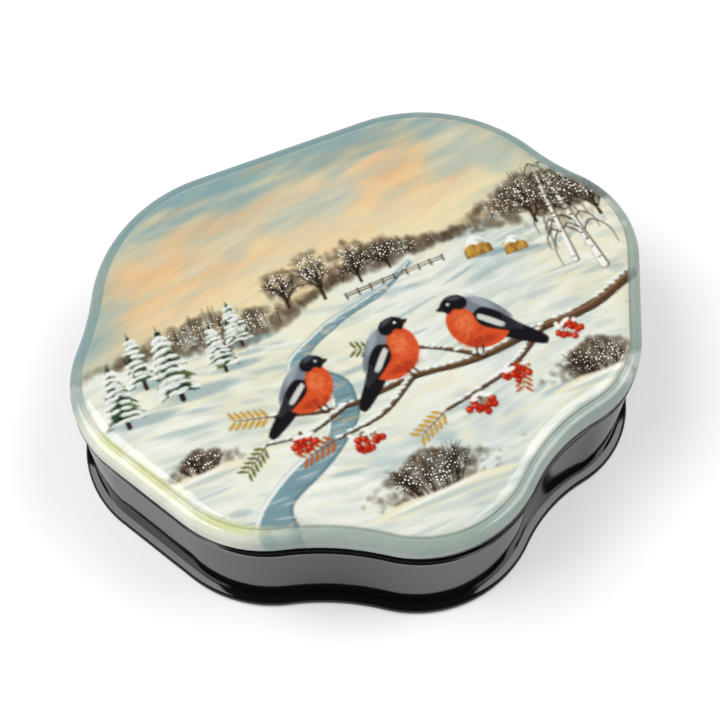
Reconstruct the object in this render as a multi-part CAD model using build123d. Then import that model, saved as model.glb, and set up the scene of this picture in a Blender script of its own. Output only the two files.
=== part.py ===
from build123d import *
import math
import os

# A lobed box of lacquered papier-mache with a hinged lid. X runs along the hinge, +Y to the back
# and +Z up. The origin is in the middle of the box, on the surface that it stands on.
# All sizes are in millimetres and degrees.

# Plan of the lid's edge
lid_length = 146.0
lid_width = 117.2

# Base board: how far it stands out beyond the lid's edge, and its section
base_reach = 2.0
base_thickness = 2.8
base_top_round = 1.3
base_low_round = 0.5

# Wall: it stands in from the lid's edge, and flares out again under the lid
wall_inset = 0.4
wall_thickness = 4.5
wall_height = 31.6
flare_height = 4.4
flare_reach = 0.5
wall_top_round = 0.25

# Lid board: a rim that steps up to the raised picture panel, and a shallow hollow below
lid_edge_height = 6.0
lid_top_round = 2.0
lid_low_round = 0.4
rim_width = 3.2
panel_rise = 1.6
panel_round = 1.2
lid_thickness = 4.4
hollow_round = 1.5

# Ring under the lid that finds the inside of the wall
lip_clearance = 0.35
lip_thickness = 2.0
lip_depth = 2.6
lip_bevel = 0.5

# Hinge: two flat leaves let into the wall's top and the lid's underside, on one pin
hinge_length = 30.0
hinge_inset = 0.6
hinge_stop_angle = 102.0
knuckle_count = 5
knuckle_gap = 0.15
barrel_radius = 1.2
barrel_clearance = 0.3
pin_radius = 0.55
pin_hold = 0.02
pin_play = 0.05
leaf_thickness = 0.8
leaf_reach = 4.0
leaf_gap = 0.2
leaf_end_gap = 0.1

# Brads that hold the leaves
brad_count = 4
brad_radius = 0.4
brad_length = 3.4
brad_head_radius = 0.75
brad_head_height = 0.35
brad_hold = 0.02

# How far a cutting shape runs past what it cuts
overrun = 1.0

# The outline is seven round lobes, named from the front and counterclockwise. A row gives the lobe's
# radius as a share of the length, and its centre as shares of the length and the width. A centre of
# None puts the lobe against the plan's edge, on the side that is given. The hollow is the radius of
# the arc up to the next lobe, as a share of the length, or None for a straight side.
LEFT, RIGHT = -1, 1
FRONT, BACK = -1, 1
lobe_shares = [
    {"name": "front", "radius": 0.204, "x": 0.0, "y": None, "side": FRONT, "hollow": 0.30},
    {"name": "front right", "radius": 0.173, "x": 0.255, "y": -0.137, "side": None, "hollow": None},
    {"name": "right", "radius": 0.179, "x": None, "y": 0.046, "side": RIGHT, "hollow": 0.35},
    {"name": "back right", "radius": 0.284, "x": 0.151, "y": None, "side": BACK, "hollow": None},
    {"name": "back left", "radius": 0.271, "x": -0.161, "y": None, "side": BACK, "hollow": 0.47},
    {"name": "left", "radius": 0.183, "x": None, "y": 0.056, "side": LEFT, "hollow": None},
    {"name": "front left", "radius": 0.210, "x": -0.216, "y": -0.105, "side": None, "hollow": 0.446},
]

# Levels and places that follow. A reach is measured outward from the lid's edge.
seam_z = base_thickness + wall_height
rim_z = seam_z + lid_edge_height
panel_z = rim_z + panel_rise
flare_z = seam_z - flare_height
wall_reach = -wall_inset
wall_top_reach = wall_reach + flare_reach
wall_inner_reach = wall_reach - wall_thickness
lip_reach = wall_inner_reach - lip_clearance
lip_inner_reach = lip_reach - lip_thickness
axis_y = lid_width / 2 - hinge_inset
barrel_room_radius = barrel_radius + barrel_clearance
leaf_back_y = axis_y - barrel_room_radius
leaf_front_y = axis_y - leaf_reach
leaf_room_half = hinge_length / 2 + leaf_end_gap
brad_y = (leaf_back_y + leaf_front_y) / 2
swing_half = lid_length / 2

# The two sides of the seam that a leaf can lie on
BELOW, ABOVE = -1, 1


def lobe_circles(reach):
    """Centre and radius of each lobe, for an outline that lies reach beyond the lid's edge."""
    circles = []
    for lobe in lobe_shares:
        radius = lobe["radius"] * lid_length
        x = lobe["side"] * (lid_length / 2 - radius) if lobe["x"] is None else lobe["x"] * lid_length
        y = lobe["side"] * (lid_width / 2 - radius) if lobe["y"] is None else lobe["y"] * lid_width
        circles.append((Vector(x, y), radius + reach))
    return circles


def outward(direction):
    """The side that faces out of the box when its edge is followed counterclockwise."""
    return Vector(direction.Y, -direction.X)


def straight_contacts(first, second):
    """Where the straight side between two lobes touches them."""
    (centre_a, radius_a), (centre_b, radius_b) = first, second
    span = centre_b - centre_a
    along = span.normalized()
    lean = (radius_a - radius_b) / span.length
    normal = along * lean + outward(along) * math.sqrt(1 - lean * lean)
    return centre_a + normal * radius_a, centre_b + normal * radius_b


def hollow_centre(first, second, hollow):
    """Centre of the hollow arc that touches two lobes from outside."""
    (centre_a, radius_a), (centre_b, radius_b) = first, second
    span = centre_b - centre_a
    along = span.normalized()
    reach_a = radius_a + hollow
    reach_b = radius_b + hollow
    foot = (span.length ** 2 + reach_a ** 2 - reach_b ** 2) / (2 * span.length)
    return centre_a + along * foot + outward(along) * math.sqrt(reach_a ** 2 - foot ** 2)


def link(first, second, reach, hollow_share):
    """The edge between two lobes, with its two ends."""
    if hollow_share is None:
        start, end = straight_contacts(first, second)
        return Line(start, end), start, end
    radius = hollow_share * lid_length - reach
    centre = hollow_centre(first, second, radius)
    start = first[0] + (centre - first[0]).normalized() * first[1]
    end = second[0] + (centre - second[0]).normalized() * second[1]
    middle = centre + ((start + end) / 2 - centre).normalized() * radius
    return ThreePointArc(start, middle, end), start, end


def outline(reach):
    """The box's outline as a face in the XY plane, reach beyond the lid's edge."""
    circles = lobe_circles(reach)
    count = len(circles)
    links = []
    for i, lobe in enumerate(lobe_shares):
        links.append(link(circles[i], circles[(i + 1) % count], reach, lobe["hollow"]))
    edges = []
    for i, (centre, radius) in enumerate(circles):
        start = links[i - 1][2]
        end = links[i][1]
        middle = centre + outward(end - start).normalized() * radius
        edges.append(ThreePointArc(start, middle, end))
        edges.append(links[i][0])
    return Face(Wire(edges))


def prism(reach, low, high):
    """A block with the box's outline between two levels."""
    return extrude(Pos(0, 0, low) * outline(reach), high - low, dir=(0, 0, 1))


def block(x_half, y_low, y_high, z_low, z_high):
    """A rectangular block across the middle of the box."""
    place = Pos(0, (y_low + y_high) / 2, (z_low + z_high) / 2)
    return place * Box(2 * x_half, y_high - y_low, z_high - z_low)


def bar(radius, start, end):
    """A round bar on the hinge's axis, between two places along it."""
    return Pos((start + end) / 2, axis_y, seam_z) * Rot(0, 90, 0) * Cylinder(radius, end - start)


def top_edges(shape):
    return shape.edges().group_by(Axis.Z)[-1]


def low_edges(shape):
    return shape.edges().group_by(Axis.Z)[0]


def swing_bevel(side):
    """Wedge behind the hinge's axis that makes way for the lid and stops it when it is open."""
    reach = hinge_inset + base_reach
    depth = reach * math.tan(math.radians(hinge_stop_angle / 2))
    corners = [(0, 0, 0), (0, reach, 0), (0, reach, side * depth)]
    wedge = Face(Wire(Polyline(*corners, close=True).edges()))
    return extrude(Pos(-swing_half, axis_y, seam_z) * wedge, 2 * swing_half, dir=(1, 0, 0))


def leaf_room(side):
    """The recess for one leaf, on its side of the seam."""
    far = seam_z + side * (leaf_gap / 2 + leaf_thickness)
    near = seam_z - side * overrun
    front_y = leaf_front_y - leaf_end_gap
    return block(leaf_room_half, front_y, axis_y, min(near, far), max(near, far))


def barrel_room():
    """The groove that the knuckles turn in."""
    return bar(barrel_room_radius, -leaf_room_half, leaf_room_half)


def knuckle_span(index):
    """Where knuckle number index starts and ends along the hinge."""
    pitch = hinge_length / knuckle_count
    start = -hinge_length / 2 + index * pitch
    return start + knuckle_gap / 2, start + pitch - knuckle_gap / 2


def brads(side, extra=0.0):
    """One leaf's brads, each with its head sunk in the leaf, or with extra their holes."""
    pitch = hinge_length / brad_count
    face_z = seam_z + side * leaf_gap / 2
    shank = Cylinder(brad_radius + extra, brad_length, align=(Align.CENTER, Align.CENTER, Align.MIN))
    head = Cylinder(
        brad_head_radius + extra, brad_head_height, align=(Align.CENTER, Align.CENTER, Align.MIN)
    )
    turn = Rot(0, 0, 0) if side == ABOVE else Rot(180, 0, 0)
    xs = [-hinge_length / 2 + pitch * (i + 0.5) for i in range(brad_count)]
    return [Pos(x, brad_y, face_z) * turn * (shank + head) for x in xs]


def base_board():
    board = prism(base_reach, 0, base_thickness)
    board = fillet(top_edges(board), base_top_round)
    return fillet(low_edges(board), base_low_round)


def wall_shell():
    flare_foot = Pos(0, 0, flare_z) * outline(wall_reach)
    flare_top = Pos(0, 0, seam_z) * outline(wall_top_reach)
    flare = loft([flare_foot, flare_top], ruled=True)
    flare = fillet(top_edges(flare), wall_top_round)
    wall = prism(wall_reach, base_thickness, flare_z) + flare
    wall -= prism(wall_inner_reach, base_thickness - overrun, seam_z + overrun)
    return wall - [swing_bevel(BELOW), leaf_room(BELOW), barrel_room()] - brads(BELOW, brad_hold)


def lid_board():
    slab = prism(0, seam_z, rim_z)
    slab = fillet(top_edges(slab), lid_top_round)
    slab = fillet(low_edges(slab), lid_low_round)
    panel = prism(-rim_width, (seam_z + rim_z) / 2, panel_z)
    panel = fillet(top_edges(panel), panel_round)
    hollow = prism(lip_inner_reach, seam_z - overrun, panel_z - lid_thickness)
    hollow = fillet(top_edges(hollow), hollow_round)
    board = slab + panel - hollow
    return board - [swing_bevel(ABOVE), leaf_room(ABOVE), barrel_room()] - brads(ABOVE, brad_hold)


def lid_lip():
    ring = prism(lip_reach, seam_z - lip_depth, seam_z)
    ring = chamfer(low_edges(ring), lip_bevel)
    return ring - prism(lip_inner_reach, seam_z - lip_depth - overrun, seam_z + overrun)


def hinge_leaf(side, first_knuckle, bore):
    """A leaf on its side of the seam, with every other knuckle of the barrel."""
    near = seam_z + side * leaf_gap / 2
    far = near + side * leaf_thickness
    low, high = min(near, far), max(near, far)
    leaf = block(hinge_length / 2, leaf_front_y, leaf_back_y, low, high)
    for index in range(first_knuckle, knuckle_count, 2):
        start, end = knuckle_span(index)
        web = Pos((start + end) / 2, 0, 0) * block((end - start) / 2, leaf_back_y, axis_y, low, high)
        leaf += [web, bar(barrel_radius, start, end)]
    leaf -= bar(bore, -hinge_length / 2 - overrun, hinge_length / 2 + overrun)
    return leaf - brads(side, brad_hold)


def hinge_pin():
    return bar(pin_radius, -hinge_length / 2, hinge_length / 2)


parts = {
    "base_board": base_board(),
    "wall_shell": wall_shell(),
    "lid_board": lid_board(),
    "lid_lip": lid_lip(),
    "hinge_body_leaf": hinge_leaf(BELOW, 0, pin_radius + pin_hold),
    "hinge_lid_leaf": hinge_leaf(ABOVE, 1, pin_radius + pin_play),
    "hinge_pin": hinge_pin(),
    "hinge_body_brads": Compound(children=brads(BELOW)),
    "hinge_lid_brads": Compound(children=brads(ABOVE)),
}

os.makedirs("parts", exist_ok=True)
for name, shape in parts.items():
    export_step(shape, f"parts/{name}.step")
    print(name, round(shape.volume, 2))
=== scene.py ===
import math

import bpy
import numpy as np
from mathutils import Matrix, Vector
from mathutils.geometry import delaunay_2d_cdt


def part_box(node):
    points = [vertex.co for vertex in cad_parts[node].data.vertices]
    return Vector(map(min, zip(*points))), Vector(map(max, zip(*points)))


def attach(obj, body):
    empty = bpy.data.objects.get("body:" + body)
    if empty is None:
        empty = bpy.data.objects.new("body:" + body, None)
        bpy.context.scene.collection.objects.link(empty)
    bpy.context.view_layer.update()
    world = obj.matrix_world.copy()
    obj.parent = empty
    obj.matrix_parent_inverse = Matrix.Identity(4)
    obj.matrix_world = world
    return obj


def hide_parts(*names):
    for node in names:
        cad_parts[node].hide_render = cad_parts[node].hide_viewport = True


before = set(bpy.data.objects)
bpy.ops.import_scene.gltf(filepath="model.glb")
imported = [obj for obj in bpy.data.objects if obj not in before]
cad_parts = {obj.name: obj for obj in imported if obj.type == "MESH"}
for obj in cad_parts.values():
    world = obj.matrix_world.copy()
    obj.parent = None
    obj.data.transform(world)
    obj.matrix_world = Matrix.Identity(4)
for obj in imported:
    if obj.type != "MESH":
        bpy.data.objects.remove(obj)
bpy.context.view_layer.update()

# A lobed lacquered box. Lengths are in metres unless a name or a comment says millimetres.
MM = 0.001
lid_low, lid_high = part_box("lid_board")
_, wall_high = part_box("wall_shell")
base_low, base_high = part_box("base_board")
lip_low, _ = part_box("lid_lip")

# Plan of the lid's edge
lid_length = lid_high.x - lid_low.x
lid_width = lid_high.y - lid_low.y

# Sections of the pieces: reaches are measured outward from the lid's edge
base_reach = 2.0 * MM
base_edge_round = 0.86 * MM
base_ledge = 0.35 * MM
base_slope = (12.0, 16.0)
base_low_round = 1.1 * MM
flat_support = 0.06 * MM
wall_inset = 0.4 * MM
wall_thickness = 4.5 * MM
wall_top_round = 0.25 * MM
flare_height = 4.4 * MM
flare_reach = 0.5 * MM
flare_blend = 1.6 * MM
front_flare_reach = 0.4 * MM
front_flare_x = (56.0 * MM, 44.0 * MM)
front_flare_y = (-22.0 * MM, -40.0 * MM)
lid_edge_height = 6.0 * MM
lid_round_width = 2.7 * MM
lid_round_height = 2.0 * MM
lid_low_round = 0.4 * MM
lid_thickness = 4.4 * MM
hollow_round = 1.5 * MM
rim_width = 3.2 * MM
rim_cove = 0.45 * MM
shoulder_width = 3.4 * MM
shoulder_height = 1.2 * MM
panel_sink = 0.2 * MM
panel_dome = 0.35 * MM
dome_width = 18.0 * MM
lip_clearance = 0.35 * MM
lip_thickness = 2.0 * MM
lip_bevel = 0.5 * MM
wall_inner_reach = -wall_inset - wall_thickness
lip_reach = wall_inner_reach - lip_clearance
lip_inner_reach = lip_reach - lip_thickness

# Levels of the pieces
floor_z = base_low.z
base_top_z = base_high.z
seam_z = wall_high.z
flare_foot_z = seam_z - flare_height
rim_z = seam_z + lid_edge_height
panel_z = lid_high.z

# Hinge recesses
hinge_length = 30.0 * MM
hinge_inset = 0.6 * MM
hinge_stop_angle = 102.0
barrel_room_radius = 1.5 * MM
leaf_recess_depth = 0.9 * MM
leaf_recess_reach = 4.1 * MM
leaf_end_gap = 0.1 * MM
overrun = 1.0 * MM

# Fineness of the meshes
outline_step = 0.5 * MM
panel_step = 0.41 * MM
panel_margin = 0.6 * panel_step
flare_steps = 16
small_steps = 4
slope_steps = 6
round_steps = 8
edge_steps = 10
lid_edge_steps = 16
shoulder_steps = 20
block_size = 20000

# Camera and stage. A softbox has a heading counterclockwise from +X and an elevation in degrees, a
# width and a height as shares of its distance, and a brightness.
camera_azimuth = -23.0
camera_elevation = 63.0
camera_distance = 404.3 * MM
camera_aim = Vector((2.6 * MM, 12.65 * MM, 0.0))
camera_lens = 75.0
camera_sensor = 36.0
stage_half = 4.0
floor_lift = 0.26
sky_fill = 0.34
dusk_levels = (0.10, 0.36)
dusk_depth = 0.97
lamp_distance = 1.7
softboxes = {
    "left_softbox": (160.0, 55.0, 0.60, 0.62, 4.8),
    "right_softbox": (-15.0, 58.0, 0.44, 0.50, 4.5),
}

# A piece's first finish is the outer one and its second the inner one
OUTSIDE, INSIDE = 0, 1

# The outline is seven round lobes, named from the front and counterclockwise. A row gives the lobe's
# radius as a share of the length, and its centre as shares of the length and the width. A centre of
# None puts the lobe against the plan's edge, on the side that is given. The hollow is the radius of
# the arc up to the next lobe, as a share of the length, or None for a straight side.
LEFT, RIGHT = -1, 1
FRONT, BACK = -1, 1
lobe_shares = [
    {"name": "front", "radius": 0.204, "x": 0.0, "y": None, "side": FRONT, "hollow": 0.30},
    {"name": "front right", "radius": 0.173, "x": 0.255, "y": -0.137, "side": None, "hollow": None},
    {"name": "right", "radius": 0.179, "x": None, "y": 0.046, "side": RIGHT, "hollow": 0.35},
    {"name": "back right", "radius": 0.284, "x": 0.151, "y": None, "side": BACK, "hollow": None},
    {"name": "back left", "radius": 0.271, "x": -0.161, "y": None, "side": BACK, "hollow": 0.47},
    {"name": "left", "radius": 0.183, "x": None, "y": 0.056, "side": LEFT, "hollow": None},
    {"name": "front left", "radius": 0.210, "x": -0.216, "y": -0.105, "side": None, "hollow": 0.446},
]


def lobe_circles():
    """Centre and radius of each lobe."""
    circles = []
    for lobe in lobe_shares:
        radius = lobe["radius"] * lid_length
        x = lobe["side"] * (lid_length / 2 - radius) if lobe["x"] is None else lobe["x"] * lid_length
        y = lobe["side"] * (lid_width / 2 - radius) if lobe["y"] is None else lobe["y"] * lid_width
        circles.append((np.array((x, y)), radius))
    return circles


def bearing(vector):
    return math.atan2(vector[1], vector[0])


def unit(angle):
    return np.array((np.cos(angle), np.sin(angle)))


def link(first, second, hollow):
    """Bearings at which the edge leaves one lobe and reaches the next, and the hollow's centre."""
    (centre_a, radius_a), (centre_b, radius_b) = first, second
    span = centre_b - centre_a
    length = np.hypot(*span)
    if hollow is None:
        angle = bearing(span) - math.acos((radius_a - radius_b) / length)
        return angle, angle, None
    reach_a, reach_b = radius_a + hollow, radius_b + hollow
    angle = bearing(span) - math.acos((length ** 2 + reach_a ** 2 - reach_b ** 2) / (2 * length * reach_a))
    centre = centre_a + reach_a * unit(angle)
    return angle, bearing(centre - centre_b), centre


def stations(start, end, length):
    """Values from start up to end, without the end, for points a step apart over a length."""
    return np.linspace(start, end, max(2, round(length / outline_step)), endpoint=False)


def trace_outline():
    """Points and outward normals along the lid's edge, counterclockwise."""
    circles = lobe_circles()
    nexts = circles[1:] + circles[:1]
    hollows = [None if lobe["hollow"] is None else lobe["hollow"] * lid_length for lobe in lobe_shares]
    links = [link(circle, following, hollow) for circle, following, hollow in zip(circles, nexts, hollows)]
    points, normals = [], []
    for i, (centre, radius) in enumerate(circles):
        start = links[i - 1][1]
        leave, arrive, hollow_centre = links[i]
        end = start + (leave - start) % math.tau
        angles = stations(start, end, radius * (end - start))
        points += [centre + radius * unit(a) for a in angles]
        normals += [unit(a) for a in angles]
        if hollow_centre is None:
            here = centre + radius * unit(leave)
            there = nexts[i][0] + nexts[i][1] * unit(arrive)
            shares = stations(0, 1, np.hypot(*(there - here)))
            points += [here + (there - here) * s for s in shares]
            normals += [unit(leave)] * len(shares)
        else:
            turn = (leave - arrive) % math.tau
            angles = stations(leave, leave - turn, hollows[i] * turn)
            points += [hollow_centre - hollows[i] * unit(a) for a in angles]
            normals += [unit(a) for a in angles]
    return np.array(points), np.array(normals)


def arc(reach, z, radius, start, end, steps=round_steps):
    """Points of a section's round corner, about its centre, between two angles in degrees."""
    angles = np.radians(np.linspace(start, end, steps + 1))
    return [(reach + radius * math.cos(a), z + radius * math.sin(a)) for a in angles]


def ellipse(reach, z, width, height, steps):
    """Points round a quarter of an ellipse about its middle, from level with it to just short of its top."""
    angles = np.radians(np.linspace(0, 90, steps, endpoint=False))
    return [(reach + width * math.cos(a), z + height * math.sin(a)) for a in angles]


# Meshes

def new_piece(name, points, faces, finishes, face_finish=None):
    """A mesh object at the origin, with its finishes and the finish of each face."""
    mesh = bpy.data.meshes.new(name)
    mesh.from_pydata([tuple(p) for p in points], [], faces)
    for finish in finishes:
        mesh.materials.append(finish)
    if face_finish is not None:
        mesh.polygons.foreach_set("material_index", face_finish)
    mesh.polygons.foreach_set("use_smooth", [True] * len(mesh.polygons))
    mesh.update()
    piece = bpy.data.objects.new(name, mesh)
    bpy.context.scene.collection.objects.link(piece)
    return piece


def sweep(section, points, normals):
    """Vertices of a section carried round the outline, row by row."""
    rows = [np.column_stack([points + normals * reach, np.full(len(points), z)]) for reach, z in section]
    return np.concatenate(rows)


def ring_faces(bands, rows, around):
    """Bands of faces between neighbouring rows of a sweep. One after the last row goes to the first."""
    faces = []
    for j in range(bands):
        here, there = j * around, (j + 1) % rows * around
        for i in range(around):
            k = (i + 1) % around
            faces.append((here + i, here + k, there + k, there + i))
    return faces


def swept_piece(name, vertices, around, finishes, bands, caps=()):
    """A swept piece. Bands gives the finish of each band of faces, and caps those of the two ends."""
    rows = len(vertices) // around
    faces = ring_faces(len(bands), rows, around)
    if caps:
        faces += [tuple(range(around - 1, -1, -1)), tuple(range((rows - 1) * around, rows * around))]
    return new_piece(name, vertices, faces, finishes, np.repeat(bands, around).tolist() + list(caps))


def sharpen(piece, degrees):
    """Keeps corners that turn by more than this sharp, and gives the piece back."""
    piece.data.set_sharp_from_angle(angle=math.radians(degrees))
    return piece


def cut(piece, cutters):
    """Takes the cutters out of a piece."""
    for cutter in cutters:
        tool = piece.modifiers.new("cut", "BOOLEAN")
        tool.operation = "DIFFERENCE"
        tool.solver = "EXACT"
        tool.material_mode = "TRANSFER"
        tool.object = cutter
    evaluated = piece.evaluated_get(bpy.context.evaluated_depsgraph_get())
    mesh = bpy.data.meshes.new_from_object(evaluated)
    piece.modifiers.clear()
    piece.data = mesh
    for cutter in cutters:
        bpy.data.objects.remove(cutter)


def signed_area(section):
    following = section[1:] + section[:1]
    return sum(x0 * y1 - x1 * y0 for (x0, y0), (x1, y1) in zip(section, following)) / 2


def bar_cutter(section, half, finish):
    """A straight bar along X with the given section of (y, z) points, used to cut."""
    count = len(section)
    points = [(x, y, z) for x in (-half, half) for y, z in section]
    faces = [(i, (i + 1) % count, count + (i + 1) % count, count + i) for i in range(count)]
    faces += [tuple(reversed(range(count))), tuple(range(count, 2 * count))]
    cutter = new_piece("cutter", points, faces, [finish])
    if signed_area(section) > 0:
        cutter.data.flip_normals()
    return cutter


def hinge_cutters(side, finish):
    """Barrel groove, leaf recess and swing bevel, for the piece below or above the seam."""
    axis_y = lid_high.y - hinge_inset
    half = hinge_length / 2 + leaf_end_gap
    angles = np.linspace(0, math.tau, 4 * round_steps, endpoint=False)
    radius = barrel_room_radius
    groove = [(axis_y + radius * math.cos(a), seam_z + radius * math.sin(a)) for a in angles]
    leaf_y = axis_y - leaf_recess_reach
    near_z, far_z = seam_z - side * overrun, seam_z + side * leaf_recess_depth
    recess = [(leaf_y, near_z), (axis_y, near_z), (axis_y, far_z), (leaf_y, far_z)]
    reach = hinge_inset + base_reach
    deep_z = seam_z + side * reach * math.tan(math.radians(hinge_stop_angle / 2))
    bevel = [(axis_y, near_z), (axis_y, seam_z), (axis_y + reach, near_z), (axis_y + reach, deep_z)]
    return [
        bar_cutter(groove, half, finish),
        bar_cutter(recess, half, finish),
        bar_cutter(bevel, lid_length / 2, finish),
    ]


# Finishes. A pattern's scale is in features per metre, its detail in layers.

smudge_scale, wave_scale, ripple_scale, speck_scale, relief_scale = 60.0, 70.0, 420.0, 2600.0, 330.0
polish_roughness = 0.055
gloss_depth = 0.5 * MM
lacquer_index = 1.5
paint_relief = 1.4
frost_scale = 1450.0
frost_radius = 0.48
bristle_scale = 2400.0
bristle_angle = 0.35

# The painted edge ends a little above the seam, and higher up along a bare strip at the front
bare_height = 2.6 * MM
bare_middle_x = 12.0 * MM
bare_half_x = 34.0 * MM
bare_y = (-20.0 * MM, 0.0)
bare_low = 0.5 * MM
bare_ragged = 0.7 * MM
bare_softness = 0.04 * MM


class Signal:
    """A shader value that takes part in sums."""

    def __init__(self, tree, socket):
        self.tree = tree
        self.socket = socket

    def maths(self, operation, first, second=0.0):
        return add_node(self.tree, "ShaderNodeMath", {"operation": operation}, {0: first, 1: second})

    def __add__(self, other):
        return self.maths("ADD", self, other)

    def __sub__(self, other):
        return self.maths("SUBTRACT", self, other)

    def __rsub__(self, other):
        return self.maths("SUBTRACT", other, self)

    def __mul__(self, other):
        return self.maths("MULTIPLY", self, other)

    def __truediv__(self, other):
        return self.maths("DIVIDE", self, other)

    def __abs__(self):
        return self.maths("ABSOLUTE", self)

    __radd__ = __add__
    __rmul__ = __mul__

    def clipped(self):
        return add_node(self.tree, "ShaderNodeClamp", {}, {0: self})


def add_node(tree, kind, settings, values, output=0):
    """Adds a node with its settings, then its values and links, and gives one of its outputs."""
    node = tree.nodes.new(kind)
    for name, value in settings.items():
        setattr(node, name, value)
    for name, value in values.items():
        if isinstance(value, Signal):
            tree.links.new(value.socket, node.inputs[name])
        else:
            node.inputs[name].default_value = value
    return Signal(tree, node.outputs[output]) if len(node.outputs) else None


def new_finish(name):
    """A material, its cleared node tree and the piece's own coordinates."""
    finish = bpy.data.materials.new(name)
    finish.use_nodes = True
    tree = finish.node_tree
    tree.nodes.clear()
    return finish, tree, add_node(tree, "ShaderNodeTexCoord", {}, {}, "Object")


def close_finish(tree, values):
    """Principled surface with the given inputs, joined to the material's output."""
    surface = add_node(tree, "ShaderNodeBsdfPrincipled", {}, values)
    add_node(tree, "ShaderNodeOutputMaterial", {}, {"Surface": surface})


def part_of(tree, place, axis):
    """One coordinate of a place."""
    return add_node(tree, "ShaderNodeSeparateXYZ", {}, {0: place}, axis)


def noise(tree, place, scale, detail=2.0, rough=0.5):
    """Cloudy pattern from 0 to 1."""
    values = {"Vector": place, "Scale": scale, "Detail": detail, "Roughness": rough}
    return add_node(tree, "ShaderNodeTexNoise", {}, values)


def blend(tree, factor, first, second):
    """Colour between two others."""
    values = {"Factor": factor, 6: first, 7: second}
    return add_node(tree, "ShaderNodeMix", {"data_type": "RGBA"}, values, 2)


def between(tree, value, low, high):
    """0 below low, 1 above high, and smooth between them."""
    values = {"Value": value, "From Min": low, "From Max": high}
    return add_node(tree, "ShaderNodeMapRange", {"interpolation_type": "SMOOTHSTEP"}, values)


def bump(tree, height, strength, distance):
    values = {"Height": height, "Strength": strength, "Distance": distance}
    return add_node(tree, "ShaderNodeBump", {}, values)


def stretched(tree, place, scale, angle=0.0):
    """A place scaled and then turned about Z."""
    values = {"Vector": place, "Rotation": (0.0, 0.0, angle), "Scale": scale}
    return add_node(tree, "ShaderNodeMapping", {}, values)


def to_linear(values):
    """Linear values from display values of 0 to 1."""
    return np.where(values <= 0.04045, values / 12.92, ((values + 0.055) / 1.055) ** 2.4)


def rgb(red, green, blue):
    """Linear colour with alpha from 0 to 255 display values."""
    return (*to_linear(np.array((red, green, blue)) / 255).tolist(), 1.0)


def grey(value):
    return (value, value, value, 1.0)


def lacquer(tree, place, colour, relief=0.0, dullness=0.0):
    """Hand-rubbed clear lacquer over a colour, with the relief of paint below it."""
    smudge = between(tree, noise(tree, place, smudge_scale, 4.0), 0.45, 0.75)
    speck = between(tree, noise(tree, place, speck_scale, 1.0), 0.74, 0.80)
    roughness = polish_roughness + dullness + smudge * 0.035 + speck * 0.10
    height = noise(tree, place, wave_scale, 1.0) + noise(tree, place, ripple_scale) * 0.08
    if relief:
        height = height + noise(tree, place, relief_scale) * relief
    normal = bump(tree, height, 0.10, gloss_depth)
    values = {"Base Color": colour, "Roughness": roughness, "Normal": normal, "IOR": lacquer_index}
    close_finish(tree, values)


black_tone = rgb(17, 16, 17)


def black_lacquer():
    """Black lacquer with a trace of dust."""
    finish, tree, place = new_finish("black_lacquer")
    dust = between(tree, noise(tree, place, 900.0, 3.0, 0.7), 0.62, 0.80)
    lacquer(tree, place, blend(tree, dust * 0.5, black_tone, rgb(38, 34, 33)))
    return finish


def red_lacquer():
    """Red lacquer, clouded and slightly duller than the black."""
    finish, tree, place = new_finish("red_lacquer")
    cloud = between(tree, noise(tree, place, 45.0, 4.0, 0.6), 0.3, 0.7)
    grain = between(tree, noise(tree, place, 700.0), 0.60, 0.72)
    colour = blend(tree, cloud, rgb(150, 22, 16), rgb(176, 32, 22))
    lacquer(tree, place, blend(tree, grain * 0.35, colour, rgb(112, 14, 12)), dullness=0.06)
    return finish


def hinge_brass():
    """Brass, drawn along the hinge and tarnished in patches."""
    finish, tree, place = new_finish("hinge_brass")
    tarnish = between(tree, noise(tree, place, 380.0, 4.0, 0.65), 0.45, 0.70)
    draw = noise(tree, stretched(tree, place, (0.15, 1.0, 1.0)), 3800.0)
    colour = blend(tree, tarnish * 0.7, (0.74, 0.54, 0.25, 1.0), (0.36, 0.22, 0.09, 1.0))
    roughness = 0.24 + tarnish * 0.20 + draw * 0.10
    normal = bump(tree, draw, 0.15, 0.05 * MM)
    values = {"Base Color": colour, "Metallic": 1.0, "Roughness": roughness, "Normal": normal}
    close_finish(tree, values)
    return finish


def frost_dots(tree, flat):
    """How far white dots cover a place. They are larger and closer together in more frost."""
    frost = add_node(tree, "ShaderNodeAttribute", {"attribute_name": "frost"}, {}, "Fac")
    settings = {"voronoi_dimensions": "2D", "feature": "F1"}
    values = {"Vector": flat, "Scale": frost_scale}
    distance = add_node(tree, "ShaderNodeTexVoronoi", settings, values, "Distance")
    chance = part_of(tree, add_node(tree, "ShaderNodeTexVoronoi", settings, values, "Color"), "X")
    return between(tree, (frost + chance - 1.0) * frost_radius - distance, 0.0, 0.10)


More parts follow.
